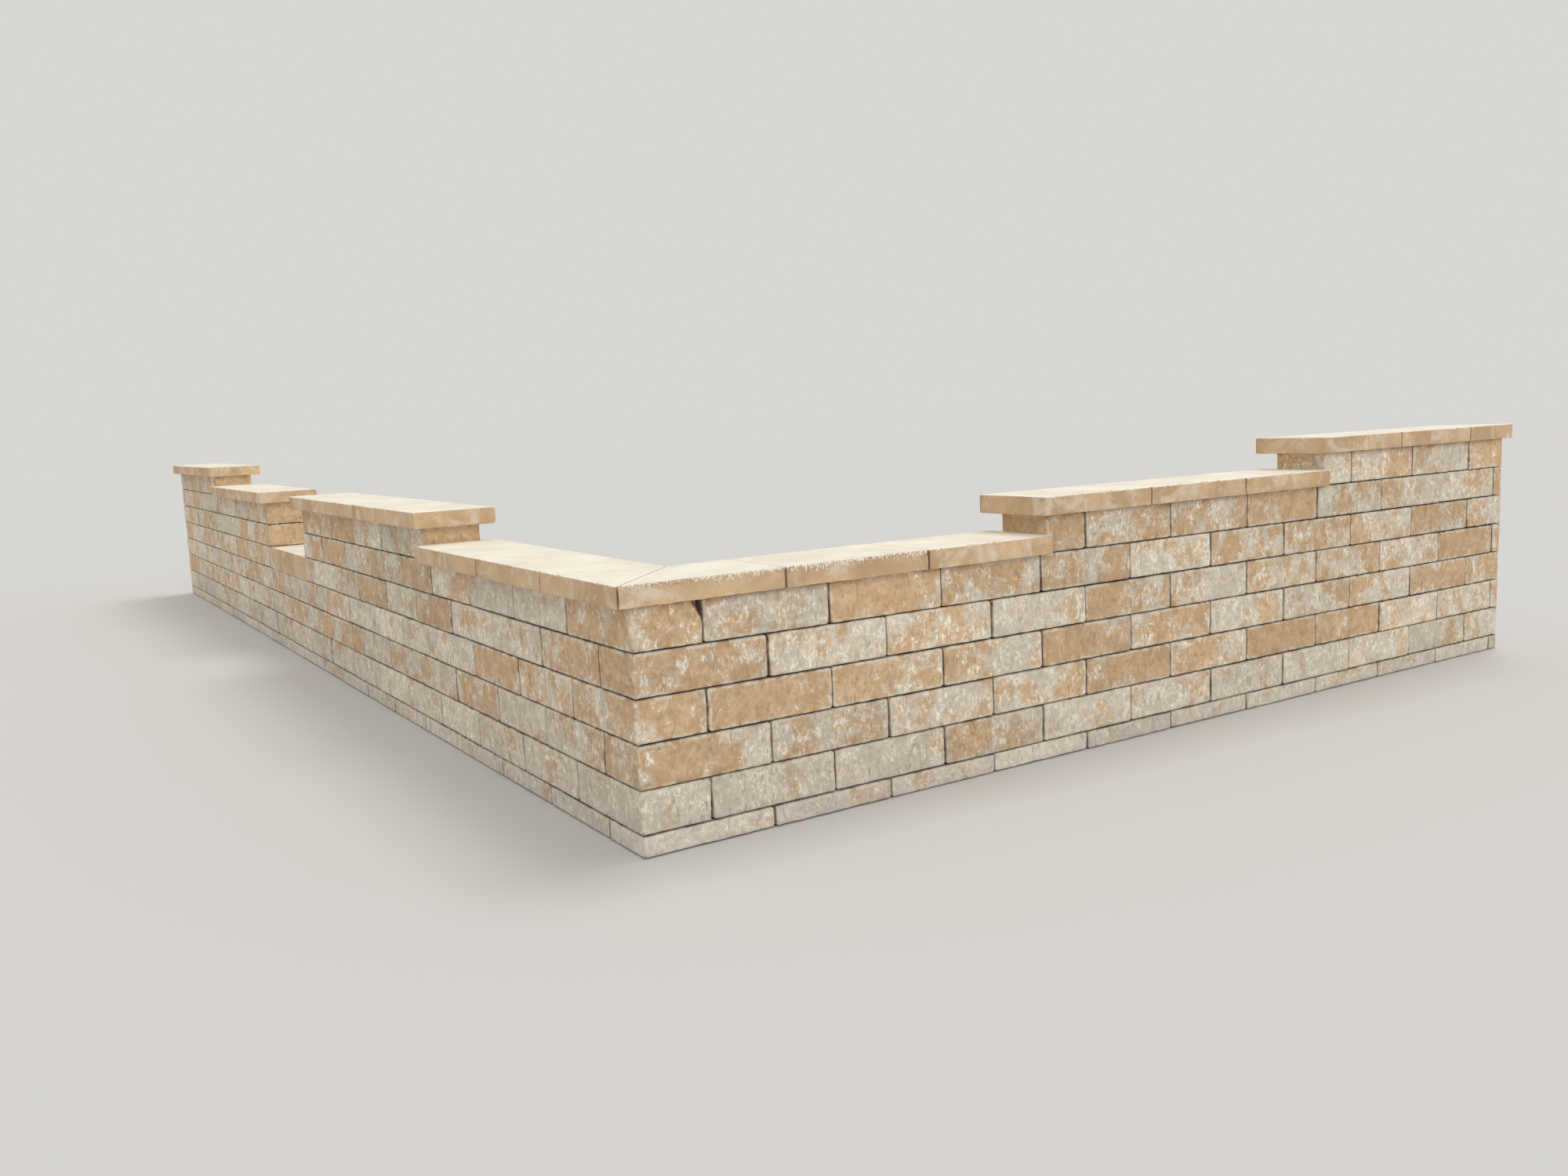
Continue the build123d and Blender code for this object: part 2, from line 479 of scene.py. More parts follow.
def split_limestone(colours):
    """Sandy limestone, split: matt and grainy, ochre with feathered pale patches and flecks."""
    material, tree, surface = new_material("Split sandy limestone", roughness=0.9, ior=1.55)
    place = add_node(tree, "TexCoord", output="Object")
    shift = add_node(tree, "Attribute", output="Vector", attribute_name="stone_shift")
    share = add_node(tree, "Attribute", output="Fac", attribute_name="pale_share")
    worn = add_node(tree, "Attribute", output="Fac", attribute_name="worn")
    soiled = add_node(tree, "Attribute", output="Fac", attribute_name="soiled")
    sawn = add_node(tree, "Attribute", output="Fac", attribute_name="sawn_end")
    own = add_node(tree, "VectorMath", {0: place, 1: shift}, operation="ADD")

    # Brush-like streaks of the bedding, 50 mm long and 12 mm wide, on a slant
    slant = add_node(
        tree, "Mapping", {"Vector": own, "Rotation": (0.5, 0.5, 0.4), "Scale": (20.0, 20.0, 85.0)}
    )
    streaks = add_node(
        tree,
        "TexNoise",
        {"Vector": slant, "Scale": 1.0, "Detail": 4.0, "Roughness": 0.6, "Distortion": 0.8},
    )

    # Patches about 180 mm across. Streaks and a speckle of 25 mm feather their borders, and the
    # share of a stone sets how much of it is pale. Sawn ends are ochre.
    patches = add_node(
        tree,
        "TexNoise",
        {"Vector": own, "Scale": 5.5, "Detail": 6.0, "Roughness": 0.62, "Distortion": 0.5},
    )
    patches = add_node(
        tree,
        "MapRange",
        {"Value": patches, "From Min": 0.42, "From Max": 0.58, "To Max": 0.8},
        clamp=False,
    )
    speckle = add_node(
        tree, "TexNoise", {"Vector": own, "Scale": 40.0, "Detail": 4.0, "Roughness": 0.65}
    )
    level = add_node(tree, "Math", {0: streaks, 1: 1.1, 2: patches}, operation="MULTIPLY_ADD")
    level = add_node(tree, "Math", {0: speckle, 1: level}, operation="ADD")
    level = add_node(tree, "Math", {0: level, 1: share}, operation="ADD")
    level = add_node(tree, "Math", {0: sawn, 1: -0.8, 2: level}, operation="MULTIPLY_ADD")
    pale_mask = add_node(tree, "MapRange", {"Value": level, "From Min": 1.66, "From Max": 2.22})

    # Clouds 60 mm across in both stones
    clouds = add_node(
        tree, "TexNoise", {"Vector": own, "Scale": 16.0, "Detail": 6.0, "Roughness": 0.62}
    )
    cloud_mask = add_node(tree, "MapRange", {"Value": clouds, "From Min": 0.38, "From Max": 0.62})
    ochre = add_node(
        tree,
        "Mix",
        {0: cloud_mask, 6: colours.ochre_deep, 7: colours.ochre},
        output=2,
        data_type="RGBA",
    )
    pale = add_node(
        tree, "Mix", {0: cloud_mask, 6: colours.grey, 7: colours.pale}, output=2, data_type="RGBA"
    )
    stone = add_node(tree, "Mix", {0: pale_mask, 6: ochre, 7: pale}, output=2, data_type="RGBA")

    # Curved pale marks left by small flakes, gathered in clusters. The real ones are 3 mm wide and
    # are drawn 6 mm wide and up to 50 mm long, so that they show.
    bent = add_node(
        tree, "Mapping", {"Vector": own, "Rotation": (0.5, 0.5, 0.0), "Scale": (42.0, 42.0, 17.0)}
    )
    bends = add_node(
        tree,
        "TexNoise",
        {"Vector": bent, "Scale": 1.0, "Detail": 1.5, "Roughness": 0.5, "Distortion": 1.3},
    )
    off = add_node(tree, "Math", {0: bends, 1: 0.5}, operation="SUBTRACT")
    off = add_node(tree, "Math", {0: off}, operation="ABSOLUTE")
    line = add_node(tree, "MapRange", {"Value": off, "From Min": 0.050, "From Max": 0.030})
    cluster = add_node(tree, "MapRange", {"Value": clouds, "From Min": 0.45, "From Max": 0.53})
    gaps = add_node(tree, "MapRange", {"Value": speckle, "From Min": 0.43, "From Max": 0.51})
    border = add_node(
        tree, "MapRange", {"Value": level, "From Min": 1.35, "From Max": 1.75, "To Min": 0.15}
    )
    marks = add_node(tree, "Math", {0: line, 1: gaps}, operation="MULTIPLY")
    marks = add_node(tree, "Math", {0: marks, 1: border}, operation="MULTIPLY")
    marks = add_node(tree, "Math", {0: marks, 1: cluster}, operation="MULTIPLY")
    stone = add_node(
        tree, "Mix", {0: marks, 6: stone, 7: colours.fleck}, output=2, data_type="RGBA"
    )
    # Painted shade in small pits beside the marks
    pit_shade = add_node(
        tree,
        "MapRange",
        {"Value": bends, "From Min": 0.40, "From Max": 0.32, "To Min": 1.0, "To Max": 0.80},
    )

    # Worn edges are paler here and there
    rim = add_node(tree, "Math", {0: worn, 1: cluster}, operation="MULTIPLY")
    stone = add_node(tree, "Mix", {0: rim, 6: stone, 7: colours.pale}, output=2, data_type="RGBA")

    # Dust near the base, which fades out about 120 mm above it
    height = add_node(tree, "SeparateXYZ", {0: place}, output="Z")
    low = add_node(tree, "Math", {0: patches, 1: -0.06, 2: height}, operation="MULTIPLY_ADD")
    dust_mask = add_node(
        tree, "MapRange", {"Value": low, "From Min": 0.10, "From Max": 0.0, "To Max": 0.5}
    )
    stone = add_node(
        tree, "Mix", {0: dust_mask, 6: stone, 7: colours.dust}, output=2, data_type="RGBA"
    )

    # Flakes of 20 mm with painted shade in their pits, and each stone a little lighter or darker
    # than the next.
    # Sand grains are under 1 mm, and are drawn 4 mm wide so that they show.
    flakes = add_node(
        tree, "TexNoise", {"Vector": own, "Scale": 50.0, "Detail": 5.0, "Roughness": 0.62}
    )
    grain = add_node(tree, "TexNoise", {"Vector": own, "Scale": 240.0, "Detail": 3.0})
    tone = add_node(tree, "TexNoise", {"Vector": shift, "Scale": 1.0, "Detail": 0.0})
    tone = add_node(
        tree,
        "MapRange",
        {"Value": tone, "From Min": 0.3, "From Max": 0.7, "To Min": 0.90, "To Max": 1.10},
    )
    brightness = add_node(
        tree,
        "MapRange",
        {"Value": grain, "From Min": 0.3, "From Max": 0.7, "To Min": 0.94, "To Max": 1.06},
    )
    brightness = add_node(tree, "Math", {0: brightness, 1: tone}, operation="MULTIPLY")
    mottle = add_node(
        tree,
        "MapRange",
        {"Value": flakes, "From Min": 0.36, "From Max": 0.64, "To Min": 0.88, "To Max": 1.10},
    )
    brightness = add_node(tree, "Math", {0: brightness, 1: mottle}, operation="MULTIPLY")
    brightness = add_node(tree, "Math", {0: brightness, 1: pit_shade}, operation="MULTIPLY")
    stone = add_node(tree, "VectorMath", {0: stone, "Scale": brightness}, operation="SCALE")

    # Soil and painted shade on the sides of the joints, thinner in places
    soil = add_node(
        tree,
        "MapRange",
        {"Value": clouds, "From Min": 0.40, "From Max": 0.60, "To Min": 1.0, "To Max": 0.35},
    )
    soil = add_node(tree, "Math", {0: soil, 1: soiled}, operation="MULTIPLY")
    stone = add_node(tree, "Mix", {0: soil, 6: stone, 7: colours.soil}, output=2, data_type="RGBA")
    tree.links.new(stone, surface.inputs["Base Color"])

    # Relief of the flakes, with the grains on it
    rough = add_node(tree, "Bump", {"Height": flakes, "Strength": 0.7, "Distance": 0.008})
    normal = add_node(
        tree, "Bump", {"Height": grain, "Strength": 0.4, "Distance": 0.001, "Normal": rough}
    )
    tree.links.new(normal, surface.inputs["Normal"])
    return material


def hewn_edge(colours):
    """The same stone, sawn to thickness and hewn at the edges: matt beige, chipped at the top."""
    material, tree, surface = new_material("Hewn coping stone", roughness=0.85, ior=1.55)
    place = add_node(tree, "TexCoord", output="Object")
    chipped = add_node(tree, "Attribute", output="Fac", attribute_name="chipped")
    soiled = add_node(tree, "Attribute", output="Fac", attribute_name="soiled")

    # Greyer lengths of about 300 mm
    clouds = add_node(
        tree,
        "TexNoise",
        {"Vector": place, "Scale": 3.5, "Detail": 5.0, "Roughness": 0.55, "Distortion": 0.5},
    )
    mask = add_node(tree, "MapRange", {"Value": clouds, "From Min": 0.42, "From Max": 0.58})
    stone = add_node(
        tree, "Mix", {0: mask, 6: colours.edge_grey, 7: colours.edge}, output=2, data_type="RGBA"
    )

    # Paler flecked places 150 mm across
    patches = add_node(
        tree,
        "TexNoise",
        {"Vector": place, "Scale": 6.5, "Detail": 7.0, "Roughness": 0.7, "Distortion": 0.8},
    )
    patch_mask = add_node(
        tree, "MapRange", {"Value": patches, "From Min": 0.50, "From Max": 0.62, "To Max": 0.6}
    )
    stone = add_node(
        tree, "Mix", {0: patch_mask, 6: stone, 7: colours.sawn_shade}, output=2, data_type="RGBA"
    )

    # Fresh cream chips that hang from the top of the edge like teeth, lightened further as a
    # painted highlight, with painted shade in the hollows between them, in stretches about 200 mm
    # long. The real ones are 2 to 3 mm wide, and are drawn 5 mm wide and 18 mm long so that they
    # show.
    teeth = add_node(
        tree,
        "Mapping",
        {"Vector": place, "Rotation": (0.3, 0.3, 0.0), "Scale": (180.0, 180.0, 55.0)},
    )
    teeth = add_node(
        tree,
        "TexNoise",
        {"Vector": teeth, "Scale": 1.0, "Detail": 3.0, "Roughness": 0.65, "Distortion": 0.6},
    )
    stretch = add_node(tree, "TexNoise", {"Vector": place, "Scale": 5.0, "Detail": 1.0})
    level = add_node(tree, "Math", {0: teeth, 1: 5.0, 2: chipped}, operation="MULTIPLY_ADD")
    level = add_node(tree, "Math", {0: stretch, 1: level}, operation="ADD")
    hollow = add_node(
        tree, "MapRange", {"Value": level, "From Min": 3.35, "From Max": 3.80, "To Max": 0.75}
    )
    stone = add_node(
        tree, "Mix", {0: hollow, 6: stone, 7: colours.hollow}, output=2, data_type="RGBA"
    )
    # Painted highlight on the chips, over their own fresh cream
    chip_highlight_mask = add_node(
        tree, "MapRange", {"Value": level, "From Min": 3.84, "From Max": 3.96, "To Max": 0.95}
    )
    stone = add_node(
        tree, "Mix", {0: chip_highlight_mask, 6: stone, 7: colours.chip}, output=2, data_type="RGBA"
    )

    # Soil and painted shade on the ends that make a joint
    soil = add_node(tree, "Math", {0: soiled, 1: 0.6}, operation="MULTIPLY")
    stone = add_node(tree, "Mix", {0: soil, 6: stone, 7: colours.soil}, output=2, data_type="RGBA")
    tree.links.new(stone, surface.inputs["Base Color"])

    # Tool marks 8 mm across, with finer grain in them
    grain = add_node(
        tree, "TexNoise", {"Vector": place, "Scale": 120.0, "Detail": 5.0, "Roughness": 0.7}
    )
    normal = add_node(tree, "Bump", {"Height": grain, "Strength": 0.5, "Distance": 0.0025})
    tree.links.new(normal, surface.inputs["Normal"])
    return material


def sawn_top(colours):
    """The same stone, sawn and bleached by the weather, and painted paler than the edges as sunlit:
    smooth cream, with clouds and pores.
    """
    material, tree, surface = new_material("Sawn coping stone", roughness=0.7, ior=1.55)
    place = add_node(tree, "TexCoord", output="Object")

    # Clouds 250 mm across
    clouds = add_node(
        tree, "TexNoise", {"Vector": place, "Scale": 4.0, "Detail": 8.0, "Roughness": 0.6}
    )
    mask = add_node(tree, "MapRange", {"Value": clouds, "From Min": 0.40, "From Max": 0.60})
    stone = add_node(
        tree, "Mix", {0: mask, 6: colours.sawn_shade, 7: colours.sawn}, output=2, data_type="RGBA"
    )
    tree.links.new(stone, surface.inputs["Base Color"])

    # Pores, which are under 1 mm and are drawn 2.5 mm wide so that they show
    pores = add_node(tree, "TexNoise", {"Vector": place, "Scale": 400.0, "Detail": 2.0})
    normal = add_node(tree, "Bump", {"Height": pores, "Strength": 0.3, "Distance": 0.0006})
    tree.links.new(normal, surface.inputs["Normal"])
    return material


def joint_bedding(colours):
    """Sand and lime bedding, raked back: matt, dark and gritty at the bottom of the joints."""
    material, tree, surface = new_material("Raked bedding mortar", roughness=0.95, ior=1.5)
    place = add_node(tree, "TexCoord", output="Object")

    # Grit of 2 mm
    grit = add_node(tree, "TexNoise", {"Vector": place, "Scale": 500.0, "Detail": 2.0})
    darker = tuple(part * 0.7 for part in colours.bedding)
    colour = add_node(
        tree, "Mix", {0: grit, 6: darker, 7: colours.bedding}, output=2, data_type="RGBA"
    )
    tree.links.new(colour, surface.inputs["Base Color"])
    normal = add_node(tree, "Bump", {"Height": grit, "Strength": 0.5, "Distance": 0.001})
    tree.links.new(normal, surface.inputs["Normal"])
    return material


def material_of(make, colours):
    """Make a material the first time that it is asked for."""
    kept = bpy.context.scene.get("wall_materials", {})
    if make.__name__ in kept:
        return bpy.data.materials[kept[make.__name__]]
    material = make(colours)
    bpy.context.scene["wall_materials"] = {**dict(kept), make.__name__: material.name}
    return material


def add_block(name, low, high):
    """Add a block between two corners, with its place in its mesh."""
    low, high = Vector(low), Vector(high)
    bpy.ops.object.select_all(action="DESELECT")
    bpy.ops.mesh.primitive_cube_add(size=1, location=(low + high) / 2, scale=high - low)
    bpy.ops.object.transform_apply(location=True, rotation=True, scale=True)
    block = bpy.context.object
    block.name = name
    return block


def select(kind, chosen):
    """In edit mode, select only the edges or faces that pass a test."""
    bpy.ops.mesh.select_mode(type=kind)
    bpy.ops.mesh.select_all(action="DESELECT")
    mesh = bpy.context.object.data
    cage = bmesh.from_edit_mesh(mesh)
    for part in cage.edges if kind == "EDGE" else cage.faces:
        if chosen(part):
            part.select_set(True)
    bmesh.update_edit_mesh(mesh)


def cut_across(axis, length, cell):
    """Divide the edges that run along an axis, which cuts the faces between them into rows."""

    def runs_along(edge):
        line = edge.verts[1].co - edge.verts[0].co
        return abs(line[axis]) > SAME_WAY * line.length

    cuts = round(length / cell) - 1
    if cuts > 0:
        select("EDGE", runs_along)
        bpy.ops.mesh.subdivide(number_cuts=cuts)


def merge_side(direction):
    """Merge the faces of one flat side into a single face."""
    select("FACE", lambda face: face.normal.dot(Vector(direction)) > SAME_WAY)
    bpy.ops.mesh.dissolve_faces()


def ease_edges(chosen, width, segments=2):
    """Bevel the edges that pass a test."""
    select("EDGE", chosen)
    bpy.ops.mesh.bevel(offset=width, segments=segments, affect="EDGES")


def is_sharp(edge):
    """True for an edge where the surface turns by more than 60 degrees."""
    if len(edge.link_faces) != 2:
        return False
    first, second = [face.normal for face in edge.link_faces]
    return first.dot(second) < 0.5


def soiling(gap, arris):
    """How much soil and painted shade a point gets: wholly in the side of a joint, and less towards
    the face.
    """
    return max(0.0, 1 - 2 * gap / arris)


def note(piece, **values):
    """Keep a number for each of a piece's points, for its material to read."""
    for name, numbers in values.items():
        piece.data.attributes.new(name, "FLOAT", "POINT").data.foreach_set("value", numbers)


def model_stone(name, length, height, splits, sawn_ends, sizes):
    """Model one walling stone round the origin, with relief to come on its split sides."""
    half = Vector((length / 2, HALF_WALL, height / 2))
    stone = add_block(name, -half, half)
    bpy.ops.object.mode_set(mode="EDIT")
    cut_across(0, length, WALLING_CELL)
    cut_across(2, height, WALLING_CELL)
    if len(splits) > 2:
        cut_across(1, WALL_THICKNESS, WALLING_CELL)
    for side in [(-1, 0, 0), (1, 0, 0), (0, 0, -1), (0, 0, 1)]:
        if side not in splits:
            merge_side(side)

    def at_corner(edge):
        """True for an edge through the stone, at a corner of an end that makes a joint."""
        middle = (edge.verts[0].co + edge.verts[1].co) / 2
        line = edge.verts[1].co - edge.verts[0].co
        butted = (math.copysign(1, middle.x), 0, 0) not in splits
        at_end = half.x - abs(middle.x) < CLOSE and half.z - abs(middle.z) < CLOSE
        return butted and at_end and abs(line.y) > SAME_WAY * line.length

    def split_sides(edge):
        """How many of the two faces of a sharp edge are split."""
        if not is_sharp(edge):
            return 0
        return sum(
            any(face.normal.dot(Vector(side)) > SAME_WAY for side in splits)
            for face in edge.link_faces
        )

    ease_edges(at_corner, sizes.corner, segments=3)
    ease_edges(lambda edge: split_sides(edge) == 2, sizes.quoin)
    ease_edges(lambda edge: split_sides(edge) == 1, sizes.arris)
    bpy.ops.object.mode_set(mode="OBJECT")

    # The relief acts on the split sides, and half as much on their worn edges, where a point is
    # near more than one side. Sawn ends have none.
    faces = stone.vertex_groups.new(name="Split faces")
    ends = stone.vertex_groups.new(name="Split ends")
    worn = []
    soiled = []
    sawn = []
    reach = sizes.arris * EDGE_REACH
    for vertex in stone.data.vertices:
        gaps = [half[axis] - abs(vertex.co[axis]) for axis in range(3)]
        inner = sorted(gaps)[1] > reach
        worn.append(0.0 if inner else 1.0)
        end = math.copysign(1, vertex.co.x)
        at_split_end = (end, 0, 0) in splits
        sawn.append(1.0 if gaps[0] < reach and end in sawn_ends else 0.0)
        # Soil and painted shade on the sides of the joints
        soiled.append(soiling(gaps[2] if at_split_end else min(gaps[0], gaps[2]), sizes.arris))
        if gaps[1] < reach:
            faces.add([vertex.index], 1.0 if inner else 0.5, "REPLACE")
        if gaps[0] < reach and at_split_end and end not in sawn_ends:
            ends.add([vertex.index], 1.0 if inner else 0.5, "REPLACE")
    stone.data.attributes.new("stone_shift", "FLOAT_VECTOR", "POINT")
    note(stone, worn=worn, soiled=soiled, sawn_end=sawn)
    return stone


def displace(piece, name, size, depth, direction, group, middle=0.5, dips=None):
    """Press clouds into a group of points. Dips gives the levels of full depth and of none."""
    texture = bpy.data.textures.new(name, "CLOUDS")
    texture.noise_scale = size
    texture.noise_depth = 2
    if dips:
        texture.use_color_ramp = True
        ends = texture.color_ramp.elements
        ends[0].position, ends[1].position = dips
        ends[0].color, ends[1].color = (0, 0, 0, 1), (1, 1, 1, 1)
    relief = piece.modifiers.new(name, "DISPLACE")
    relief.texture = texture
    relief.texture_coords = "LOCAL"
    relief.strength = depth
    relief.mid_level = middle
    relief.direction = direction
    relief.vertex_group = group
    bpy.context.view_layer.objects.active = piece
    bpy.ops.object.modifier_apply(modifier=name)


def join(pieces, name):
    """Join pieces into the first one."""
    bpy.ops.object.select_all(action="DESELECT")
    for piece in pieces:
        piece.select_set(True)
    bpy.context.view_layer.objects.active = pieces[0]
    bpy.ops.object.join()
    pieces[0].name = name
    return pieces[0]


def give_slab_finish(piece, colours):
    """Make a piece hewn on its sides and sawn on its top, where the paler colour paints sunlight.
    """
    for make in (hewn_edge, sawn_top):
        piece.data.materials.append(material_of(make, colours))
    for face in piece.data.polygons:
        face.material_index = 1 if face.normal.z > 0.9 else 0


def finish_piece(piece, node):
    """Smooth a piece and let it stand for its solid."""
    bpy.ops.object.select_all(action="DESELECT")
    piece.select_set(True)
    bpy.context.view_layer.objects.active = piece
    bpy.ops.object.shade_smooth_by_angle(angle=SMOOTH_ANGLE)
    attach(piece, "root")
    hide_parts(node)


def upright_joints(start, end, through):
    """Joints of a course in half bond, as distances from the outer corner."""
    first = STONE_PITCH if through else WALL_THICKNESS
    count = int(LONGEST_WING / STONE_PITCH) + 1
    places = [first + STONE_PITCH * number for number in range(count)]
    return [place for place in places if start + SHORTEST_STONE < place < end - SHORTEST_STONE]


def break_corner(piece):
    """Knock the upper inner corner off the end stone under the low coping of the short wing."""
    for vertex in piece.data.vertices:
        place = vertex.co
        drop = (BREAK_TOP - place.z) / BREAK_HEIGHT
        inset = (HALF_WALL - place.y) / BREAK_WIDTH
        fall = 1 - max(0.0, drop) - max(0.0, inset)
        if place.x > 0 and fall > 0:
            place.x = min(place.x, HALF_WALL - BREAK_DEPTH * min(1.0, BREAK_STEEPNESS * fall))


class STONEWALL_OT_lay_walling(bpy.types.Operator):
    """Lay the split stones of every course"""

    bl_idname = "stone_wall.lay_walling"
    bl_label = "Lay Walling"

    def execute(self, context):
        sizes = context.scene.wall_walling
        colours = context.scene.wall_colours
        stone_finish = material_of(split_limestone, colours)
        bedding_finish = material_of(joint_bedding, colours)
        chance = random.Random(sizes.seed)
        templates = {}
        for node in sorted(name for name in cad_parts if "course" in name):
            piece = self.lay_course(node, sizes, chance, templates, stone_finish, bedding_finish)
            across, along = ("X", "Y") if node.startswith("short") else ("Y", "X")
            for group, direction in (("Split faces", across), ("Split ends", along)):
                displace(piece, "Swells", SWELL_SIZE, sizes.broad_relief, direction, group)
                displace(piece, "Flakes", FLAKE_SIZE, sizes.fine_relief, direction, group)
                displace(piece, "Worn edges", FLAKE_SIZE, sizes.worn_relief, "NORMAL", group)
            if node == BREAK_NODE:
                break_corner(piece)
            finish_piece(piece, node)
        for template in templates.values():
            bpy.data.objects.remove(template)
        return {"FINISHED"}

    def lay_course(self, node, sizes, chance, templates, stone_finish, bedding_finish):
        """Lay the stones of one course on their bedding, and join them."""
        low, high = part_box(node)
        short = node.startswith("short")
        course = int(node[-1])
        through = (course % 2 == 1) == short
        if short:
            start, end = low.y + HALF_WALL, high.y + HALF_WALL
        else:
            start, end = HALF_WALL - high.x, HALF_WALL - low.x
        butted = CLOSE < start < WALL_THICKNESS + CLOSE
        edges = [start] + upright_joints(start, end, through) + [end]
        level = (low.z + sizes.joint + high.z) / 2
        parts = [self.bed(node, edges, butted, low.z, high.z, sizes)]
        parts[0].data.materials.append(bedding_finish)
        for number, (left, right) in enumerate(zip(edges, edges[1:]), start=1):
            splits = [(0, -1, 0), (0, 1, 0)]
            sawn_ends = []
            near, far = left + sizes.upright_joint / 2, right - sizes.upright_joint / 2
            if left == start:
                near = left + sizes.joint if butted else left
                if not butted:
                    splits.append((-1, 0, 0))
                    if start > WALL_THICKNESS:
                        sawn_ends.append(-1)
            if right == end:
                far = right
                splits.append((1, 0, 0))
                sawn_ends.append(1)
            size = (round(far - near, 4), round(high.z - low.z - sizes.joint, 4))
            key = (*size, *splits, *sawn_ends)
            if key not in templates:
                name = f"template_{len(templates)}"
                templates[key] = model_stone(name, *size, splits, sawn_ends, sizes)
            stone = templates[key].copy()
            stone.data = templates[key].data.copy()
            bpy.context.scene.collection.objects.link(stone)
            stone.data.materials.append(stone_finish)
            self.place_stone(stone, node, number, (near + far) / 2, level, sizes, chance)
            parts.append(stone)
        return join(parts, f"{node}_stones")

    def place_stone(self, stone, node, number, middle, level, sizes, chance):
        """Set a stone in its place, a little out of true, and note how pale it is."""
        out = chance.uniform(-sizes.tolerance, sizes.tolerance)
        lean = Euler([chance.gauss(0, spread) for spread in LEANS])
        if node.startswith("short"):
            place, turn, side = (out, middle - HALF_WALL, level), math.pi / 2, 1
        else:
            place, turn, side = (HALF_WALL - middle, out, level), math.pi, -1
        share = chance.triangular(SHARE_LOW, SHARE_HIGH, SHARE_USUAL)
        tilt = chance.uniform(-MOST_TILT, MOST_TILT)
        if chance.random() < OCHRE_CHANCE:
            share, tilt = OCHRE_SHARE, 0.0
        if node.endswith(("_1", "_2")):
            share = max(share, LEAST_BASE_SHARE) + DUST_SHARE
        share, tilt = NEAR_STONES.get((node, number), (share, tilt))
        shift = [chance.uniform(-MOST_SHIFT, MOST_SHIFT) for axis in range(3)]
        points = [vertex.co.x for vertex in stone.data.vertices]
        end = max(points)
        shares = [share + tilt / 2 * side * point / end for point in points]
        turned = Matrix.Translation(place) @ Matrix.Rotation(turn, 4, "Z")
        stone.data.transform(turned @ lean.to_matrix().to_4x4())
        note(stone, pale_share=shares)
        stone.data.attributes["stone_shift"].data.foreach_set("vector", shift * len(points))

    def bed(self, node, edges, butted, bottom, top, sizes):
        """Bedding under a course and in its upright joints, standing back from the faces."""
        half = HALF_WALL - sizes.joint_depth
        start = edges[0] if butted else edges[0] + sizes.joint_depth
        plates = [(start, edges[-1] - sizes.joint_depth, bottom, bottom + sizes.joint)]
        gap = sizes.upright_joint / 2
        plates += [(joint - gap, joint + gap, bottom, top) for joint in edges[1:-1]]
        blocks = []
        for near, far, base, head in plates:
            if node.startswith("short"):
                low = (-half, near - HALF_WALL, base)
                high = (half, far - HALF_WALL, head)
            else:
                low = (HALF_WALL - far, -half, base)
                high = (HALF_WALL - near, half, head)
            blocks.append(add_block(f"{node}_bedding", low, high))
        return join(blocks, f"{node}_bedding") if len(blocks) > 1 else blocks[0]


def is_met(point, boxes):
    """True for a point that lies in one of the boxes."""
    return any(all(a < b < c for a, b, c in zip(low, point, high)) for low, high in boxes)


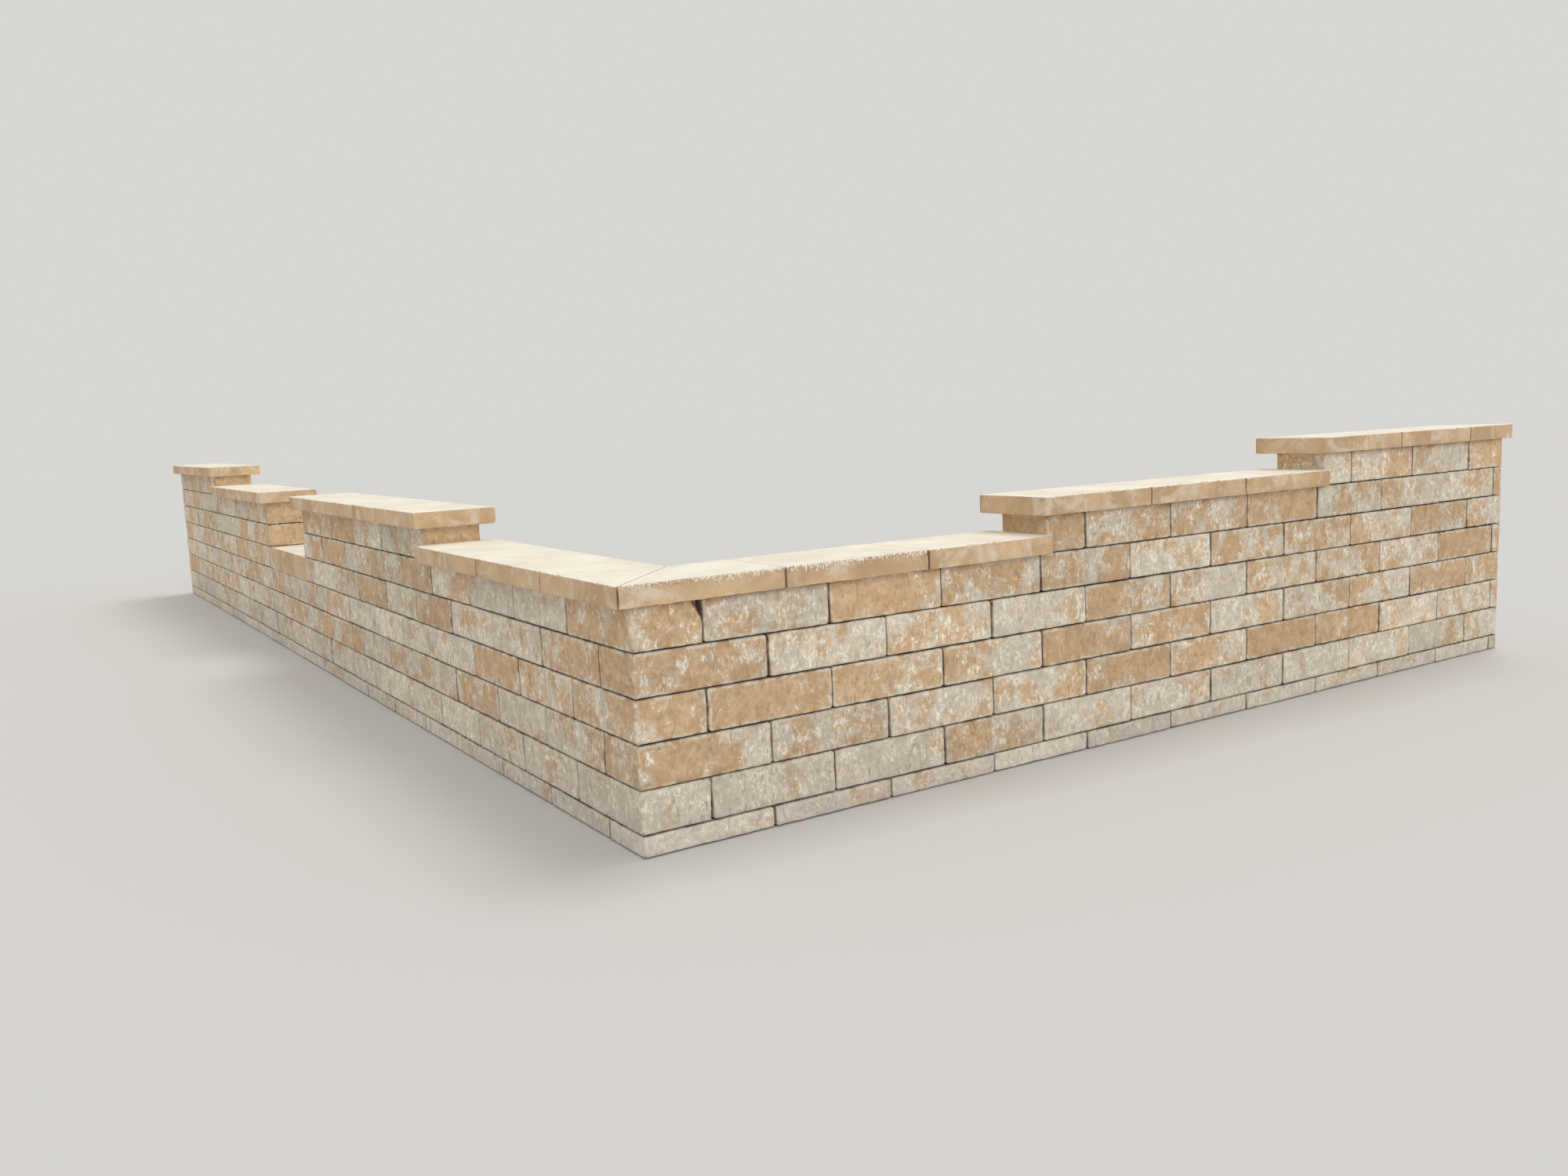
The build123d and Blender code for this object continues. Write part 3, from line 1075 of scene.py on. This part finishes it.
class STONEWALL_OT_lay_copings(bpy.types.Operator):
    """Lay the coping slabs of every level"""

    bl_idname = "stone_wall.lay_copings"
    bl_label = "Lay Copings"

    def execute(self, context):
        for node in sorted(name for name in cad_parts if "coping" in name):
            piece = self.model_slab(node, context.scene.wall_coping)
            give_slab_finish(piece, context.scene.wall_colours)
            finish_piece(piece, node)
        return {"FINISHED"}

    def model_slab(self, node, sizes):
        """Model one slab in its place: sawn top, uneven edges, and a mitre at the outer corner."""
        low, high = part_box(node)
        hewn = node in HEWN_SLABS

        def at_back(edge):
            """True for the upper and lower edge of the back."""
            first, second = [vertex.co for vertex in edge.verts]
            return high.y - min(first.y, second.y) < CLOSE < abs(second.x - first.x)

        slab = add_block(f"{node}_slab", low, high)
        bpy.ops.object.mode_set(mode="EDIT")
        if node in WORN_SLABS:
            ease_edges(at_back, sizes.worn_back, segments=3)
        for axis in range(3):
            cut_across(axis, high[axis] - low[axis], HEWN_SLAB_CELL if hewn else SLAB_CELL)
        merge_side((0, 0, -1))
        ease_edges(is_sharp, sizes.arris)
        if node in MITRED_SLABS:
            short, long = [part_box(name) for name in MITRED_SLABS]
            side = 1 if node.startswith("short") else -1
            away = Vector((-side, -side, 0)).normalized()
            cut = Vector((short[1].x, long[0].y, 0)) - away * SLAB_JOINT / 2
            bpy.ops.mesh.select_all(action="SELECT")
            bpy.ops.mesh.bisect(plane_co=cut, plane_no=away, use_fill=True, clear_outer=True)
        bpy.ops.object.mode_set(mode="OBJECT")

        # The relief acts on the two long edges, and the chips on the top of them
        across = 0 if node.startswith("short") else 1
        edge_group = slab.vertex_groups.new(name="Edges")
        top_group = slab.vertex_groups.new(name="Tops of edges")
        chipped = []
        for vertex in slab.data.vertices:
            place = vertex.co[across]
            share = 1 - (high.z - vertex.co.z) / sizes.hewn_band
            chipped.append(share if hewn else share - FEWER_CHIPS)
            if min(place - low[across], high[across] - place) < sizes.arris * EDGE_REACH:
                edge_group.add([vertex.index], 1.0, "REPLACE")
                if share > 0:
                    top_group.add([vertex.index], share, "REPLACE")
        note(slab, chipped=chipped, soiled=self.soil(slab, low, high, 1 - across, sizes))
        swells = sizes.hewn_relief if hewn else sizes.edge_relief
        displace(slab, "Edge swells", EDGE_SWELL_SIZE, swells, "NORMAL", "Edges", 1.0)
        tops = ("NORMAL", "Tops of edges", 1.0)
        if hewn:
            displace(slab, "Tool marks", TOOL_MARK_SIZE, sizes.tool_marks, *tops, TOOL_MARK_RANGE)
        chips = sizes.chips if hewn else sizes.chips / SHALLOWER_CHIPS
        displace(slab, "Chips", CHIP_SIZE, chips, *tops, CHIP_RANGE)

        # The swells stay inside the solid's box
        for vertex in slab.data.vertices:
            vertex.co = [min(max(vertex.co[axis], low[axis]), high[axis]) for axis in range(3)]
        return slab

    def soil(self, slab, low, high, along, sizes):
        """How much soil and painted shade each point of a slab gets: only on an end that faces
        another piece.
        """
        solids = [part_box(name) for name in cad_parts]
        past_joint = Vector((0, 0, 0))
        past_joint[along] = 2 * SLAB_JOINT
        soiled = []
        for vertex in slab.data.vertices:
            place = vertex.co[along]
            far_end = place > (low[along] + high[along]) / 2
            soil = soiling(high[along] - place if far_end else place - low[along], sizes.arris / 2)
            beyond = vertex.co + (past_joint if far_end else -past_joint)
            soiled.append(soil if soil > 0 and is_met(beyond, solids) else 0.0)
        return soiled


class STONEWALL_OT_lay_step(bpy.types.Operator):
    """Lay the block step of the entrance"""

    bl_idname = "stone_wall.lay_step"
    bl_label = "Lay Entrance Step"

    def execute(self, context):
        sizes = context.scene.wall_coping
        low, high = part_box("entrance_step")
        step = add_block("entrance_step_block", low, high)
        bpy.ops.object.mode_set(mode="EDIT")
        for axis in range(3):
            cut_across(axis, high[axis] - low[axis], WALLING_CELL)
        merge_side((0, 0, -1))
        ease_edges(is_sharp, sizes.arris)
        bpy.ops.object.mode_set(mode="OBJECT")
        faces = step.vertex_groups.new(name="Faces")
        for vertex in step.data.vertices:
            if HALF_WALL - abs(vertex.co.y) < sizes.arris * EDGE_REACH:
                faces.add([vertex.index], 1.0, "REPLACE")
        displace(step, "Step swells", STEP_SWELL_SIZE, sizes.step_relief, "Y", "Faces")
        give_slab_finish(step, context.scene.wall_colours)
        finish_piece(step, "entrance_step")
        return {"FINISHED"}


class STONEWALL_OT_set_stage(bpy.types.Operator):
    """Set the floor, the light and the camera"""

    bl_idname = "stone_wall.set_stage"
    bl_label = "Set Stage"

    def execute(self, context):
        stage, colours = context.scene.wall_stage, context.scene.wall_colours
        self.lay_floor(stage, colours)
        self.light(context.scene, stage, colours)
        self.aim_camera(context.scene)
        context.scene.view_settings.view_transform = "Standard"
        return {"FINISHED"}

    def lay_floor(self, stage, colours):
        """A plain pale floor at base level."""
        bpy.ops.object.select_all(action="DESELECT")
        bpy.ops.mesh.primitive_plane_add(size=stage.floor_size, location=FLOOR_PLACE)
        floor = bpy.context.object
        floor.name = "studio_floor"
        material, _, surface = new_material("Matt studio floor", roughness=0.9, ior=1.45)
        surface.inputs["Base Color"].default_value = (*colours.floor, 1)
        floor.data.materials.append(material)

    def light(self, scene, stage, colours):
        """Even light from all round, a soft key from above and behind, and a soft fill in front."""
        world = bpy.data.worlds.new("Studio")
        world.use_nodes = True
        scene.world = world
        tree = world.node_tree
        tree.nodes.clear()

        # The sky lights the wall, and the camera and reflections see the backdrop
        rays = [
            add_node(tree, "LightPath", output=name)
            for name in ("Is Camera Ray", "Is Glossy Ray", "Is Transmission Ray")
        ]
        seen = add_node(tree, "Math", {0: rays[0], 1: rays[1]}, operation="MAXIMUM")
        seen = add_node(tree, "Math", {0: seen, 1: rays[2]}, operation="MAXIMUM")
        sky = add_node(tree, "Background", {"Color": (1, 1, 1), "Strength": stage.sky})
        backdrop = add_node(tree, "Background", {"Color": colours.backdrop, "Strength": 1.0})
        shown = add_node(tree, "MixShader", {0: seen, 1: sky, 2: backdrop})
        output = tree.nodes.new("ShaderNodeOutputWorld")
        tree.links.new(shown, output.inputs["Surface"])

        suns = (("Key", stage.key, KEY_FROM), ("Fill", stage.fill, FILL_FROM))
        for name, strength, source in suns:
            light = bpy.data.lights.new(name, "SUN")
            light.energy = strength
            light.angle = stage.spread
            sun = bpy.data.objects.new(name, light)
            sun.rotation_euler = Vector(source).to_track_quat("Z", "Y").to_euler()
            scene.collection.objects.link(sun)

    def aim_camera(self, scene):
        """The photograph's viewpoint."""
        camera = bpy.data.cameras.new("Camera")
        camera.sensor_width = SENSOR_WIDTH
        camera.lens = FOCAL_LENGTH
        holder = bpy.data.objects.new("Camera", camera)
        turn = (
            Matrix.Rotation(CAMERA_HEADING, 4, "Z")
            @ Matrix.Rotation(math.pi / 2 - CAMERA_DIP, 4, "X")
            @ Matrix.Rotation(CAMERA_ROLL, 4, "Z")
        )
        holder.matrix_world = Matrix.Translation(CAMERA_PLACE) @ turn
        scene.collection.objects.link(holder)
        scene.camera = holder


class STONEWALL_PT_panel(bpy.types.Panel):
    """Steps of the stone wall in order"""

    bl_idname = "STONEWALL_PT_panel"
    bl_label = "Stone Wall"
    bl_space_type = "VIEW_3D"
    bl_region_type = "UI"
    bl_category = "Stone Wall"

    def draw(self, context):
        column = self.layout.column()
        for step in OPERATORS:
            column.operator(step.bl_idname)


OPERATORS = (
    STONEWALL_OT_lay_walling,
    STONEWALL_OT_lay_copings,
    STONEWALL_OT_lay_step,
    STONEWALL_OT_set_stage,
)
SETTINGS = {
    "wall_walling": WallingSettings,
    "wall_coping": CopingSettings,
    "wall_colours": ColourSettings,
    "wall_stage": StageSettings,
}


def register():
    for settings in SETTINGS.values():
        bpy.utils.register_class(settings)
    for step in OPERATORS:
        bpy.utils.register_class(step)
    bpy.utils.register_class(STONEWALL_PT_panel)
    for name, settings in SETTINGS.items():
        setattr(bpy.types.Scene, name, PointerProperty(type=settings))


def unregister():
    for name in SETTINGS:
        delattr(bpy.types.Scene, name)
    bpy.utils.unregister_class(STONEWALL_PT_panel)
    for step in OPERATORS:
        bpy.utils.unregister_class(step)
    for settings in SETTINGS.values():
        bpy.utils.unregister_class(settings)


def main():
    register()
    bpy.ops.stone_wall.lay_walling()
    bpy.ops.stone_wall.lay_copings()
    bpy.ops.stone_wall.lay_step()
    bpy.ops.stone_wall.set_stage()


if __name__ == "__main__":
    main()
